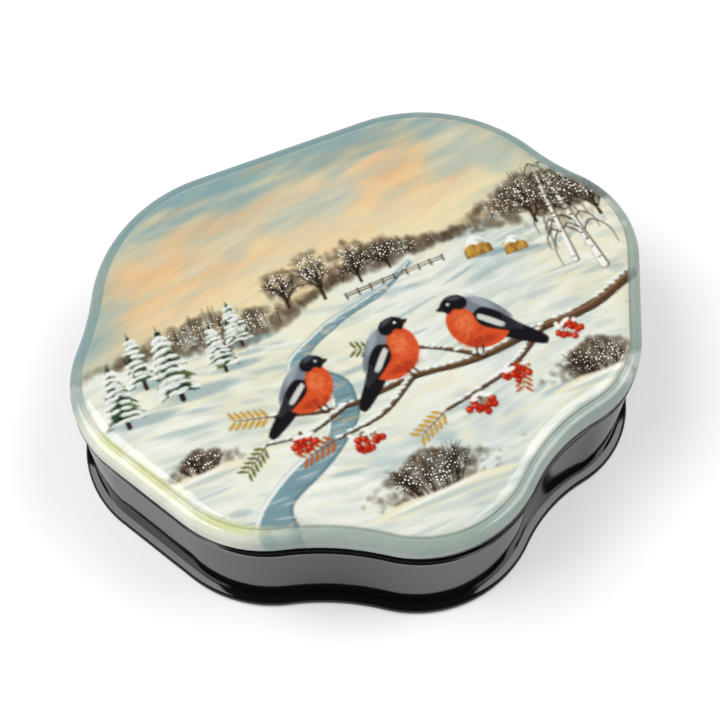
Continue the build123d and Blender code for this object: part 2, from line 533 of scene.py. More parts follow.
def painted_lacquer():
    """The picture under clear lacquer. Near the seam the board's edge is left black."""
    finish, tree, place = new_finish("painted_lacquer")
    flat = stretched(tree, place, (1.0, 1.0, 0.0))
    bristle = noise(tree, stretched(tree, flat, (0.12, 1.0, 1.0), bristle_angle), bristle_scale)
    tone = 0.90 + bristle * 0.12 + noise(tree, flat, 900.0, 3.0) * 0.08
    tone = add_node(tree, "ShaderNodeCombineXYZ", {}, {0: tone, 1: tone, 2: tone})
    paint = add_node(tree, "ShaderNodeVertexColor", {"layer_name": "paint"}, {})
    colour = add_node(tree, "ShaderNodeVectorMath", {"operation": "MULTIPLY"}, {0: paint, 1: tone})
    colour = blend(tree, frost_dots(tree, flat) * 0.92, colour, rgb(244, 246, 240))
    x, y, z = (part_of(tree, place, axis) for axis in "XYZ")
    bare = 1.0 - between(tree, abs((x - bare_middle_x) / bare_half_x), 0.0, 1.0)
    bare = bare * (1.0 - between(tree, y, *bare_y))
    ragged = noise(tree, place, 480.0, 4.0, 0.65)
    line = seam_z + bare_low + bare * bare_height + ragged * bare_ragged
    painted = between(tree, z - line, -bare_softness, bare_softness)
    lacquer(tree, place, blend(tree, painted, black_tone, colour), paint_relief)
    return finish


# The picture is painted in colours on a fine grid over the lid, and then laid on the mesh point by
# point. It shows bullfinches on a rowan branch in front of a frozen stream. Its lengths are in
# millimetres and its angles in degrees. What else a motif is given is shares of the motif's own size,
# counts of brush marks, and how thickly and softly a mark lies, from 0 to 1.
picture_pitch = 0.25
picture_margin = 8.0
picture_seed = 11
sky_strokes, high_sky_strokes, snow_strokes, stream_strokes = 420, 150, 1500, 130
birch_strokes, breast_strokes, quills = 90, 90, 5
fir_tiers, fir_boughs, fir_snow = 9, 12, 7
leaflet_pairs = 6
rim_stride = 6
fill_stride = 4
edge_spread = 0.6

palette = {
    "sky_teal": (136, 168, 170),
    "sky_peach": (232, 184, 132),
    "sky_cream": (240, 224, 180),
    "sky_cloud": (220, 210, 182),
    "sky_grey": (168, 190, 185),
    "snow": (232, 235, 221),
    "snow_cream": (238, 233, 202),
    "snow_shade": (184, 200, 198),
    "snow_deep": (132, 160, 168),
    "snow_light": (246, 247, 239),
    "wood_far": (112, 98, 78),
    "wood_mid": (80, 66, 50),
    "wood_dark": (44, 34, 25),
    "ice": (120, 152, 160),
    "ice_dark": (78, 108, 118),
    "fir": (50, 72, 48),
    "fir_dark": (28, 44, 34),
    "fir_light": (88, 108, 66),
    "bark": (92, 66, 46),
    "bark_dark": (48, 34, 26),
    "bark_light": (150, 116, 84),
    "berry": (206, 52, 26),
    "berry_dark": (138, 24, 18),
    "berry_light": (240, 122, 74),
    "leaf_gold": (214, 164, 52),
    "leaf_rust": (196, 98, 38),
    "leaf_green": (98, 112, 48),
    "breast": (216, 82, 42),
    "breast_light": (238, 130, 78),
    "breast_dark": (164, 48, 26),
    "back_grey": (120, 128, 138),
    "back_light": (164, 172, 178),
    "cap": (26, 24, 28),
    "wing_edge": (222, 222, 214),
    "straw": (208, 164, 78),
    "straw_dark": (140, 98, 42),
    "rim_cream": (232, 232, 214),
    "rim_lime": (214, 219, 158),
    "rim_teal": (150, 167, 158),
    "rim_sky": (132, 158, 160),
}


class Picture:
    """A grid of colours, and of how much frost each place carries."""

    def __init__(self, half_x, half_y, pitch, seed):
        self.pitch = pitch
        self.low_x = -half_x
        self.low_y = -half_y
        self.x, self.y = np.meshgrid(np.arange(-half_x, half_x, pitch), np.arange(-half_y, half_y, pitch))
        self.colour = np.ones((*self.x.shape, 3))
        self.frost = np.zeros(self.x.shape)
        self.luck = np.random.default_rng(seed)

    def clouds(self, cell, layers=3):
        """Smooth random field from 0 to 1, with its largest features a cell across."""
        total = np.zeros(self.x.shape)
        weight = 1.0
        for _ in range(layers):
            knots = self.luck.random((int(np.ptp(self.y) / cell) + 3, int(np.ptp(self.x) / cell) + 3))
            u, v = (self.x - self.low_x) / cell, (self.y - self.low_y) / cell
            i, j = u.astype(int), v.astype(int)
            total += weight * amid(knots, i, j, eased(u - i), eased(v - j))
            weight /= 2
            cell /= 2
        low, high = total.min(), total.max()
        return (total - low) / (high - low)

    def wash(self, name, cover):
        """Lays a colour all over, as thickly as cover says at each place."""
        self.lay(slice(None), name, np.clip(cover, 0, 1))

    def window(self, x, y, reach_x, reach_y):
        """The part of the grid round a place."""
        parts = []
        middles, reaches, lows = (y, x), (reach_y, reach_x), (self.low_y, self.low_x)
        for middle, reach, low, count in zip(middles, reaches, lows, self.x.shape):
            start = np.clip((middle - reach - low) / self.pitch, 0, count)
            end = np.clip((middle + reach - low) / self.pitch + 2, 0, count)
            parts.append(slice(int(start), int(end)))
        return tuple(parts)

    def window_round(self, points, margin):
        """The part of the grid round some points, with a margin."""
        low, high = points.min(0), points.max(0)
        return self.window(*(high + low) / 2, *(high - low) / 2 + margin)

    def lay(self, part, name, cover):
        """Lays a colour on part of the grid."""
        pigment = np.array(palette[name]) / 255
        self.colour[part] += (pigment - self.colour[part]) * cover[..., None]

    def dab(self, x, y, long, wide, turn, name, cover, soft=0.5):
        """One touch of the brush: an ellipse with a soft edge, turned by turn degrees."""
        reach = max(long, wide) * (1 + soft)
        part = self.window(x, y, reach, reach)
        dx, dy = self.x[part] - x, self.y[part] - y
        c, s = math.cos(math.radians(turn)), math.sin(math.radians(turn))
        ratio = np.hypot((dx * c + dy * s) / long, (dy * c - dx * s) / wide)
        self.lay(part, name, cover * eased(np.clip((1 + soft / 2 - ratio) / soft, 0, 1)))

    def haze(self, x, y, long, wide, name, cover):
        """A soft dab at any angle. Its length, width and cover are drawn from the given ranges."""
        draw = self.luck.uniform
        self.dab(x, y, draw(*long), draw(*wide), draw(0, 180), name, draw(*cover), 0.9)

    def stroke(self, points, start_width, end_width, name, cover=1.0):
        """A drawn line that changes width evenly from its first point to its last."""
        points = np.array(points, float)
        steps = np.hypot(*np.diff(points, axis=0).T)
        run = np.concatenate([[0], np.cumsum(steps)]) / max(steps.sum(), self.pitch)
        widths = start_width + (end_width - start_width) * run
        part = self.window_round(points, widths.max() + self.pitch)
        shape = np.zeros(self.x[part].shape)
        for k in range(len(steps)):
            share, gap = self.line_gap(part, points[k], points[k + 1])
            half = (widths[k] + (widths[k + 1] - widths[k]) * share) / 2
            thin = np.clip(2 * half / self.pitch, 0, 1)
            shape = np.maximum(shape, thin * np.clip((half - gap) / self.pitch + 0.5, 0, 1))
        self.lay(part, name, cover * shape)

    def line_gap(self, part, start, end):
        """Where along a straight line each place is nearest to it, from 0 to 1, and how far away."""
        (x0, y0), (x1, y1) = start, end
        px, py = self.x[part], self.y[part]
        span = max((x1 - x0) ** 2 + (y1 - y0) ** 2, self.pitch ** 2 / 100)
        share = np.clip(((px - x0) * (x1 - x0) + (py - y0) * (y1 - y0)) / span, 0, 1)
        return share, np.hypot(px - x0 - share * (x1 - x0), py - y0 - share * (y1 - y0))

    def polygon(self, points, name, cover=1.0, soft=0.3):
        """A filled shape with a slightly soft edge."""
        points = np.array(points, float)
        part = self.window_round(points, 2 * soft)
        px, py = self.x[part], self.y[part]
        inside = np.zeros(px.shape, bool)
        gap = np.full(px.shape, np.inf)
        for start, end in zip(points, np.roll(points, -1, axis=0)):
            (x0, y0), (x1, y1) = start, end
            with np.errstate(divide="ignore", invalid="ignore"):
                at = x0 + (py - y0) * (x1 - x0) / (y1 - y0)
            inside ^= ((y0 > py) != (y1 > py)) & (px < at)
            gap = np.minimum(gap, self.line_gap(part, start, end)[1])
        depth = np.where(inside, gap, -gap)
        self.lay(part, name, cover * np.clip(depth / soft + 0.5, 0, 1))

    def distance(self, x, y, reach_x, reach_y):
        """How far the grid's points are from a place, as a share of the reaches."""
        return np.hypot((self.x - x) / reach_x, (self.y - y) / reach_y)

    def add_frost(self, amount):
        self.frost = np.maximum(self.frost, amount)

    def clear_frost(self, x, y, reach_x, reach_y):
        """Takes the frost away round a place."""
        self.frost *= smooth(self.distance(x, y, reach_x, reach_y), 0.9, 1.1)

    def read(self, field, x, y):
        """Values of a field at places between the grid's points."""
        u = np.clip((x - self.low_x) / self.pitch, 0, self.x.shape[1] - 2)
        v = np.clip((y - self.low_y) / self.pitch, 0, self.x.shape[0] - 2)
        i, j = u.astype(int), v.astype(int)
        s, t = u - i, v - j
        if field.ndim > 2:
            s, t = s[:, None], t[:, None]
        return amid(field, i, j, s, t)


def amid(field, i, j, s, t):
    """Values between four neighbouring points of a grid."""
    low = field[j, i] * (1 - s) + field[j, i + 1] * s
    high = field[j + 1, i] * (1 - s) + field[j + 1, i + 1] * s
    return low * (1 - t) + high * t


def eased(share):
    """A share that starts and ends gently."""
    return share * share * (3 - 2 * share)


def smooth(value, low, high):
    """0 at low, 1 at high and smooth between them, also where low is the larger."""
    return eased(np.clip((value - low) / (high - low), 0, 1))


def curve(points, steps=5):
    """A smooth line through a few points."""
    points = np.array(points, float)
    padded = np.vstack([2 * points[0] - points[1], points, 2 * points[-1] - points[-2]])
    line = []
    for a, b, c, d in zip(padded, padded[1:], padded[2:], padded[3:]):
        for t in np.linspace(0, 1, steps, endpoint=False):
            bend = (2 * a - 5 * b + 4 * c - d) * t ** 2 + (3 * b - a - 3 * c + d) * t ** 3
            line.append(0.5 * (2 * b + (c - a) * t + bend))
    line.append(points[-1])
    return np.array(line)


def placed(shares, x, y, wide, tall):
    """A shape's points about a place, given as shares of its width and height."""
    return [(x + u * wide, y + v * tall) for u, v in shares]


def skyline(x):
    """Height of the far edge of the snow."""
    return 15.0 + 3.0 * np.sin(x / 21.0) + 1.4 * np.sin(x / 8.0 + 1.0)


def paint_sky(picture):
    x, y, luck, draw = picture.x, picture.y, picture.luck, picture.luck.uniform
    drift = picture.clouds(38.0, 4)
    tilt = y - 0.12 * x + 7 * (drift - 0.5)
    picture.wash("sky_cream", np.ones(x.shape))
    picture.wash("sky_peach", 0.85 * smooth(tilt, 20, 36))
    picture.wash("sky_cream", 0.5 * smooth(picture.clouds(16.0), 0.5, 0.8) * smooth(tilt, 18, 28))
    picture.wash("sky_grey", 0.75 * smooth(picture.clouds(26.0), 0.55, 0.80))
    picture.wash("sky_teal", smooth(tilt, 42, 54))
    picture.wash("sky_teal", smooth(np.abs(x), 48, 66) * smooth(y, 5, 25))
    looks = ["sky_peach", "sky_cream", "sky_cloud", "sky_grey", "sky_cream", "sky_cloud"]
    for _ in range(sky_strokes):
        place = draw(-70, 70), draw(14, 56)
        lean = luck.normal(12, 7)
        size = draw(4, 12), draw(0.6, 2.0)
        picture.dab(*place, *size, lean, looks[luck.integers(6)], draw(0.08, 0.3), 0.9)
    for _ in range(high_sky_strokes):
        place = draw(-68, 68), draw(44, 60)
        size = draw(4, 10), draw(0.6, 1.6)
        picture.dab(*place, *size, luck.normal(8, 6), "sky_teal", draw(0.1, 0.35), 0.9)


def paint_snow(picture):
    x, y, luck, draw = picture.x, picture.y, picture.luck, picture.luck.uniform
    ground = smooth(skyline(x) - y, -0.5, 0.8)
    picture.wash("snow", ground)
    picture.wash("snow_shade", 0.85 * smooth(picture.clouds(30.0, 4), 0.52, 0.80) * ground)
    picture.wash("snow_cream", 0.75 * smooth(picture.clouds(34.0), 0.50, 0.78) * ground)
    looks = ["snow_light", "snow_shade", "snow_cream", "snow", "snow_deep"]
    for _ in range(snow_strokes):
        cx, cy = draw(-72, 72), draw(-58, 15)
        if cy > skyline(cx) - 2:
            continue
        lean = 10 * math.sin(cx / 18) + luck.normal(0, 6)
        look = looks[luck.choice(5, p=(0.34, 0.22, 0.2, 0.18, 0.06))]
        picture.dab(cx, cy, draw(2, 8), draw(0.3, 1.2), lean, look, draw(0.15, 0.5), 0.7)


def paint_far_woods(picture, centre, half, depth):
    """A bank of frosted trees on the skyline."""
    luck, draw = picture.luck, picture.luck.uniform
    for _ in range(int(half * 20)):
        cx = centre + luck.normal(0, half / 2)
        top = depth * max(0.15, 1 - abs(cx - centre) / half)
        cy = skyline(cx) + draw(-0.8, 1) * top
        tone = "wood_far" if luck.random() < 0.5 else "wood_mid"
        picture.haze(cx, cy, (0.5, 1.4), (0.5, 1.6), tone, (0.12, 0.38))
    for _ in range(int(half * 1.4)):
        cx = centre + luck.normal(0, half / 2.2)
        fade = max(0.1, 1 - abs(cx - centre) / half)
        foot = skyline(cx) - draw(0.2, 1.8)
        tall = depth * fade * draw(0.7, 1.5)
        trunk = [(cx, foot), (cx + luck.normal(0, 0.4), foot + tall)]
        picture.stroke(trunk, 0.45, 0.2, "wood_dark" if luck.random() < 0.6 else "snow_shade", 0.65)
    spread = smooth(half - np.abs(picture.x - centre), 0, half * 0.8)
    rise = np.abs(picture.y - skyline(picture.x) - 0.25 * depth)
    picture.add_frost(0.85 * smooth(rise, depth * spread + 0.4, 0.2 * depth * spread) * spread)


def paint_stream(picture):
    """A frozen stream that winds to the front."""
    luck = picture.luck
    bends = [(16, 13), (6, 8), (-9, 4), (-20, -3), (-13, -13), (-19, -24), (-38, -35), (-40, -52)]
    course = curve(bends, 8)
    widths = np.linspace(0.8, 9.5, len(course)) * (1 + 0.12 * np.sin(np.arange(len(course)) * 0.9))
    ways = np.gradient(course, axis=0)
    across = np.column_stack([-ways[:, 1], ways[:, 0]]) / np.hypot(*ways.T)[:, None]
    across = across * widths[:, None] * np.array((1.0, 0.55))
    left, right = course + across / 2, course - across / 2
    picture.polygon(np.vstack([left, right[::-1]]) + (0, 0.6), "snow_deep", 0.8, 0.8)
    picture.polygon(np.vstack([left, right[::-1]]), "ice", 0.95, 0.4)
    picture.stroke(left, 0.3, 0.9, "ice_dark", 0.7)
    picture.stroke(right, 0.3, 1.1, "snow_light", 0.9)
    for _ in range(stream_strokes):
        k = luck.integers(2, len(course))
        place = course[k] + across[k] * luck.uniform(-0.4, 0.4)
        tone = ("snow_shade", "ice_dark", "snow_light", "sky_peach")[luck.integers(4)]
        picture.dab(*place, 0.35 * widths[k], 0.25, luck.normal(0, 8), tone, 0.4, 0.8)


def paint_fir(picture, x, y, tall):
    """A snow-laden fir."""
    luck, draw = picture.luck, picture.luck.uniform
    picture.dab(x + 0.25 * tall, y - 0.2, 0.45 * tall, 0.08 * tall, -4, "snow_deep", 0.6, 0.8)
    picture.stroke([(x, y - 0.4), (x, y + 0.2 * tall)], 0.07 * tall, 0.05 * tall, "bark_dark")
    for tier in range(fir_tiers):
        share = tier / fir_tiers
        level = y + tall * (0.1 + 0.86 * share)
        half = 0.30 * tall * (1 - share) ** 0.85 + 0.4
        for _ in range(fir_boughs):
            out = draw(-1, 1)
            root = x + 0.25 * out * half, level + 0.06 * tall
            tip = x + out * half, level - 0.05 * tall * (0.4 + abs(out)) + luck.normal(0, 0.15)
            tone = ("fir", "fir_dark", "fir", "fir_light")[luck.integers(4)]
            picture.stroke([root, tip], 0.10 * tall * (1 - share) + 0.35, 0.25, tone, 0.85)
        for _ in range(fir_snow):
            out = draw(-1, 0.75)
            cx, cy = x + out * half * 0.92, level - 0.03 * tall * abs(out) + luck.normal(0, 0.2)
            picture.dab(cx, cy, 0.055 * tall + 0.2, 0.020 * tall + 0.12, -28 * out, "snow_light", 0.9)
            picture.dab(cx, cy - 0.25, 0.05 * tall, 0.15, -28 * out, "snow_shade", 0.7, 0.6)
    picture.stroke([(x, y + 0.9 * tall), (x, y + 1.02 * tall)], 0.35, 0.15, "fir_dark")


def paint_twigs(picture, x, y, reach, lean, width, depth):
    """A bare branch that forks into finer ones."""
    luck = picture.luck
    bend = lean + luck.normal(0, 14)
    middle = np.array((x, y)) + 0.5 * reach * unit(math.radians(lean))
    tip = middle + 0.5 * reach * unit(math.radians(bend))
    picture.stroke([(x, y), middle, tip], width, width * 0.6, "wood_dark", 0.9)
    for _ in range(3 if depth else 0):
        turn = luck.normal(0, 26)
        root = tip if luck.random() < 0.6 else middle
        finer = max(width * 0.62, 0.2)
        paint_twigs(picture, *root, reach * luck.uniform(0.6, 0.8), lean + turn, finer, depth - 1)


def paint_frosted_tree(picture, x, y, tall):
    """A bare tree whose crown is a haze of twigs under hoarfrost."""
    luck, draw = picture.luck, picture.luck.uniform
    for _ in range(int(tall * 9)):
        angle, out = draw(0, math.tau), math.sqrt(luck.random())
        cx, cy = x + 0.40 * tall * out * math.cos(angle), y + tall * (0.60 + 0.38 * out * math.sin(angle))
        tone = ("wood_far", "wood_mid", "wood_far")[luck.integers(3)]
        picture.haze(cx, cy, (0.4, 1.3), (0.3, 0.9), tone, (0.12, 0.36))
    trunk = [(x, y - 0.4), (x + luck.normal(0, 0.2), y + 0.45 * tall)]
    picture.stroke(trunk, 0.05 * tall + 0.2, 0.4, "wood_dark", 0.95)
    for k in range(7):
        root = x + luck.normal(0, 0.15), y + tall * draw(0.05, 0.3)
        paint_twigs(picture, *root, tall * draw(0.26, 0.34), 90 + 13 * (k - 3) + luck.normal(0, 5), 0.5, 2)
    gap = picture.distance(x, y + 0.62 * tall, 0.44 * tall, 0.42 * tall)
    picture.add_frost(0.95 * smooth(gap + 0.35 * (picture.clouds(3.0) - 0.5), 1.05, 0.45))


def paint_bush(picture, x, y, half, tall):
    """A frosted bush: brown haze, dark twigs, white specks and a bank of snow at its foot."""
    luck, draw = picture.luck, picture.luck.uniform
    for _ in range(int(half * 46)):
        out, up = luck.normal(0, 0.42), luck.random() ** 0.8
        cx, cy = x + out * half, y + up * tall * (1 - 0.5 * min(abs(out), 1))
        tone = ("wood_far", "wood_mid", "wood_mid")[luck.integers(3)]
        picture.haze(cx, cy, (0.4, 1.1), (0.3, 0.9), tone, (0.1, 0.32))
    for _ in range(int(half * 1.3)):
        out = draw(-0.7, 0.7)
        paint_twigs(picture, x + 0.6 * out * half, y - 0.3, tall * draw(0.3, 0.5), 90 - 38 * out, 0.45, 2)
    gap = picture.distance(x, y + 0.5 * tall, half, 0.62 * tall)
    picture.add_frost(0.9 * smooth(gap, 1.05, 0.35))
    picture.clear_frost(x, y - 1.4, 1.3 * half, 1.9)
    bank = [(-1.25, -0.9), (-0.6, 0.5), (0, 0.2), (0.7, 0.7), (1.3, -1.0), (0.6, -2.6), (-0.6, -2.8)]
    picture.polygon(curve(placed(bank + bank[:1], x, y, half, 1)), "snow_cream", 0.95, 0.6)
    picture.dab(x + 0.1 * half, y - 1.8, 0.9 * half, 0.7, 0, "snow_shade", 0.7, 0.8)
    picture.dab(x - 0.1 * half, y - 0.6, 0.8 * half, 0.45, 3, "snow_light", 0.9, 0.8)


def paint_birch(picture, x, y, tall, lean):
    """A white trunk with dark marks, and thin hanging twigs."""
    luck, draw = picture.luck, picture.luck.uniform
    trunk = curve(placed([(0, 0), (0.3, 0.35), (0.6, 0.7), (1, 1)], x, y, lean, tall), 6)
    for _ in range(birch_strokes):
        root = trunk[luck.integers(6, len(trunk))]
        place = root + (luck.normal(0, 0.13 * tall), luck.normal(0, 0.08 * tall))
        picture.dab(*place, draw(0.4, 1.2), draw(0.4, 1.0), 80, "wood_far", draw(0.1, 0.28), 0.9)
    droop = [(0, 0), (0.5, 0.45), (1, -0.1), (1.05, -0.8)]
    for k in range(5, len(trunk), 2):
        for side in (-1, 1):
            reach = 0.22 * tall * draw(0.6, 1.2) * (1.3 - k / len(trunk))
            twig = curve(placed(droop, *trunk[k], side * reach, reach), 4)
            picture.stroke(twig, 0.4, 0.2, "wood_dark", 0.85)
    picture.stroke(trunk + (0.12, 0), 0.066 * tall + 0.2, 0.3, "wood_far")
    picture.stroke(trunk - (0.08, 0), 0.052 * tall + 0.1, 0.25, "snow_light")
    for k in range(1, len(trunk) - 3):
        if luck.random() < 0.75:
            place = trunk[k] + (luck.normal(0, 0.25), luck.normal(0, 0.3))
            size = draw(0.3, 0.7), draw(0.12, 0.3)
            picture.dab(*place, *size, luck.normal(0, 10), "bark_dark", 0.85, 0.4)
    gap = picture.distance(x + 0.7 * lean, y + 0.75 * tall, 0.26 * tall, 0.36 * tall)
    picture.add_frost(0.62 * smooth(gap, 1.0, 0.3))


def paint_haystack(picture, x, y, size):
    """A haystack with a cap of snow."""
    luck, draw = picture.luck, picture.luck.uniform
    picture.dab(x + 0.8 * size, y - 0.1 * size, 1.3 * size, 0.25 * size, -6, "snow_deep", 0.7, 0.8)
    dome = [(-1, 0), (-0.92, 0.7), (-0.4, 1.35), (0, 1.5), (0.45, 1.3), (0.95, 0.65), (1, 0)]
    picture.polygon(curve(placed(dome, x, y, size, size)), "straw_dark")
    for _ in range(int(34 * size)):
        cx, cy = x + draw(-0.85, 0.8) * size, y + draw(0.05, 0.9) * size
        tone = ("straw", "straw", "straw_dark", "leaf_gold")[luck.integers(4)]
        picture.stroke([(cx, cy), (cx + luck.normal(0, 0.15), cy + 0.35 * size)], 0.28, 0.2, tone, 0.8)
    cap = [(-0.95, 0.75), (-0.4, 1.45), (0, 1.62), (0.5, 1.38), (0.98, 0.7)]
    cap += [(0.5, 0.98), (0.1, 0.86), (-0.4, 1.02), cap[0]]
    picture.polygon(curve(placed(cap, x, y, size, size)), "snow_light")
    picture.dab(x + 0.45 * size, y + 1.05 * size, 0.4 * size, 0.14 * size, -38, "snow_shade", 0.8, 0.7)


def paint_fence(picture, start, end, posts):
    """A low rail fence that runs over the snow."""
    for x, y in np.linspace(start, end, posts):
        post = [(x, y - 0.2), (x + picture.luck.normal(0, 0.15), y + 1.7)]
        picture.stroke(post, 0.42, 0.3, "wood_dark", 0.9)
        picture.dab(x, y + 1.8, 0.3, 0.2, 0, "snow_light", 1.0, 0.4)
    for level in (0.5, 1.2):
        picture.stroke(np.array((start, end)) + (0, level), 0.3, 0.26, "wood_mid", 0.9)


def paint_berries(picture, x, y, count, spread):
    """A hanging bunch of rowan berries under a little snow."""
    luck, draw = picture.luck, picture.luck.uniform
    places = []
    for _ in range(count):
        angle, out = draw(0, math.tau), math.sqrt(luck.random()) * spread
        places.append((x + out * math.cos(angle), y + 0.72 * out * math.sin(angle)))
    for place in places:
        picture.stroke([(x, y + spread), place], 0.25, 0.2, "bark", 0.9)
    for cx, cy in sorted(places, key=lambda place: place[1]):
        size = draw(0.72, 0.95)
        picture.dab(cx, cy, size, size, 0, "berry_dark", 1.0, 0.25)
        picture.dab(cx - 0.1, cy + 0.1, 0.78 * size, 0.78 * size, 0, "berry", 1.0, 0.4)
        picture.dab(cx - 0.25, cy + 0.3, 0.34 * size, 0.3 * size, 30, "berry_light", 0.95, 0.6)
    for _ in range(6):
        cx, cy = x + luck.normal(0, 0.45) * spread, y + spread * draw(0.45, 0.8)
        picture.dab(cx, cy, draw(0.6, 1.3), 0.5, luck.normal(0, 12), "snow_light", 0.95, 0.4)


def paint_leaf(picture, x, y, length, lean, name):
    """A rowan leaf of small leaflets on one stalk."""
    along = unit(math.radians(lean))
    across = np.array((-along[1], along[0]))
    start = np.array((x, y), float)
    picture.stroke([start, start + along * length], 0.35, 0.2, "bark", 0.9)
    for k in range(1, leaflet_pairs + 1):
        root = start + along * length * k / leaflet_pairs
        for side in (-1, 1):
            way = along * 0.75 + across * side
            middle = root + way * 0.14 * length
            turn = math.degrees(bearing(way))
            picture.dab(*middle, 0.15 * length, 0.048 * length, turn, "bark", 0.6, 0.4)
            picture.dab(*middle, 0.14 * length, 0.040 * length, turn, name, 0.95, 0.4)


def paint_branch(picture, start_width, end_width, points):
    """A snow-covered branch."""
    luck = picture.luck
    line = curve(points, 8)
    picture.stroke(line + (0.05, -0.18), start_width + 0.35, end_width + 0.1, "bark_dark")
    picture.stroke(line, start_width, end_width, "bark")
    picture.stroke(line + (0, 0.16 * start_width), 0.3 * start_width, 0.15, "bark_light", 0.8)
    for k, (x, y) in enumerate(line):
        if luck.random() < 0.72:
            top = y + (start_width + (end_width - start_width) * k / len(line)) / 2
            lump = luck.uniform(0.45, 1.0)
            long, wide = 0.9 * lump + 0.3, 0.30 * lump + 0.16
            picture.dab(x, top + 0.12, long, wide, luck.normal(0, 8), "snow_shade", 0.9, 0.4)
            long, wide = 0.85 * lump + 0.3, 0.26 * lump + 0.12
            picture.dab(x - 0.1, top + 0.28, long, wide, luck.normal(0, 8), "snow_light", 1.0, 0.4)


# The filled parts of a bullfinch, back to front, in shares of its size from the middle of its body
bullfinch_shares = {
    "tail": [(-0.62, -0.05), (-1.28, -0.62), (-1.34, -0.80), (-1.16, -0.84), (-0.40, -0.42)],
    "body": [
        (0.50, 0.42), (0.62, 0.12), (0.56, -0.24), (0.28, -0.54), (-0.10, -0.64),
        (-0.48, -0.52), (-0.72, -0.20), (-0.60, 0.12), (-0.30, 0.42), (0.10, 0.62),
    ],
    "back": [
        (0.12, 0.64), (-0.30, 0.50), (-0.62, 0.20), (-0.78, -0.10),
        (-0.60, -0.20), (-0.20, 0.06), (0.12, 0.34),
    ],
    "rump": [(-0.62, 0.02), (-0.80, -0.14), (-0.84, -0.30), (-0.62, -0.26)],
    "wing": [
        (0.02, 0.20), (-0.22, 0.30), (-0.58, 0.06), (-0.98, -0.42),
        (-0.80, -0.44), (-0.42, -0.30), (-0.08, -0.10),
    ],
    "bar": [(-0.04, 0.06), (-0.12, 0.16), (-0.56, -0.16), (-0.46, -0.24)],
    "head": [
        (0.20, 0.72), (0.44, 0.72), (0.62, 0.58), (0.64, 0.44), (0.50, 0.32),
        (0.38, 0.40), (0.20, 0.36), (0.06, 0.46), (0.08, 0.62),
    ],
    "beak": [(0.58, 0.56), (0.74, 0.46), (0.60, 0.40)],
}


def paint_bullfinch(picture, x, y, size, facing, tilt):
    """A round red-breasted bird on a branch. Facing is 1 for right and -1 for left."""
    luck, draw = picture.luck, picture.luck.uniform
    c, s = math.cos(math.radians(tilt)), math.sin(math.radians(tilt))

    def at(u, v):
        return x + facing * size * (u * c - v * s), y + size * (u * s + v * c)

    def spot(u, v, long, wide, turn, name, cover, soft=0.4):
        lean = turn + tilt if facing > 0 else 180 - turn - tilt
        picture.dab(*at(u, v), long * size, wide * size, lean, name, cover, soft)

    def shape(part, name, cover=1.0):
        points = [at(u, v) for u, v in bullfinch_shares[part]]
        picture.polygon(curve(points + points[:1]), name, cover)

    picture.clear_frost(x, y, 1.1 * size, 1.0 * size)
    shape("tail", "cap")
    shape("body", "breast")
    spot(0.24, 0.04, 0.24, 0.20, 80, "breast_light", 0.75, 0.9)
    spot(0.02, -0.46, 0.34, 0.10, -6, "breast_dark", 0.65, 0.9)
    for _ in range(breast_strokes):
        u, v = draw(-0.1, 0.55), draw(-0.5, 0.35)
        if (u - 0.15) ** 2 / 0.22 + (v + 0.06) ** 2 / 0.24 < 1:
            tone = ("breast_light", "breast_dark", "breast")[luck.integers(3)]
            spot(u, v, 0.07, 0.015, -62 + 40 * u, tone, 0.4, 0.6)
    shape("back", "back_grey")
    spot(-0.22, 0.44, 0.32, 0.09, 42, "back_light", 0.8, 1.0)
    shape("rump", "snow")
    shape("wing", "cap")
    shape("bar", "wing_edge", 0.95)
    for k in range(quills):
        quill = [at(-0.46 - 0.03 * k, -0.26 + 0.07 * k), at(-0.92, -0.41 + 0.03 * k)]
        picture.stroke(quill, 0.22, 0.2, "back_grey", 0.6)
    shape("head", "cap")
    spot(0.32, 0.66, 0.16, 0.05, 10, "back_grey", 0.5, 1.0)
    shape("beak", "bark_dark")
    spot(0.46, 0.54, 0.035, 0.035, 0, "snow_light", 0.9, 0.4)
    for u in (0.02, 0.16):
        picture.stroke([at(u, -0.58), at(u + 0.04, -0.74)], 0.45, 0.35, "bark_dark")


def paint_rim(picture, points, normals):
    """The rim's own tones: cream at the left, pale teal at the front and right, sky behind. Pale broken
    patches along its sides are painted highlights.
    """
    x, y = picture.x, picture.y
    flat = np.column_stack([x.ravel(), y.ravel()])
    gap = -depth_inside(flat, points[::rim_stride] / MM, normals[::rim_stride]).reshape(x.shape)
    rim = -rim_width / MM
    edge = smooth(gap, rim - 0.5, rim + 0.3)
    streaks = 0.72 + 0.28 * picture.clouds(9.0)
    left = smooth(x, -30, -50) * smooth(y, 12, -4) * smooth(y, -46, -34)
    behind = smooth(y, 6, 26)
    picture.wash("rim_teal", 0.98 * edge * streaks * (1 - left) * (1 - behind))
    picture.wash("rim_cream", 0.95 * edge * streaks * left)
    picture.wash("rim_sky", 0.85 * edge * streaks * behind)
    cove = smooth(gap, rim - 1.2, rim) * smooth(gap, -1.0, -2.4)
    picture.wash("rim_lime", 0.85 * cove * smooth(picture.clouds(7.0), 0.30, 0.60) * left)
    # Painted highlights: pale broken patches on the rim's left and right sides, none at the front or behind,
    # where the lamps glint.
    painted_glint_patches = smooth(picture.clouds(7.0), 0.62, 0.8)
    picture.wash("snow_light", 0.45 * edge * painted_glint_patches * (1 - behind) * smooth(y, -48, -34))
    picture.frost *= 1 - smooth(gap, rim - 1.0, rim)


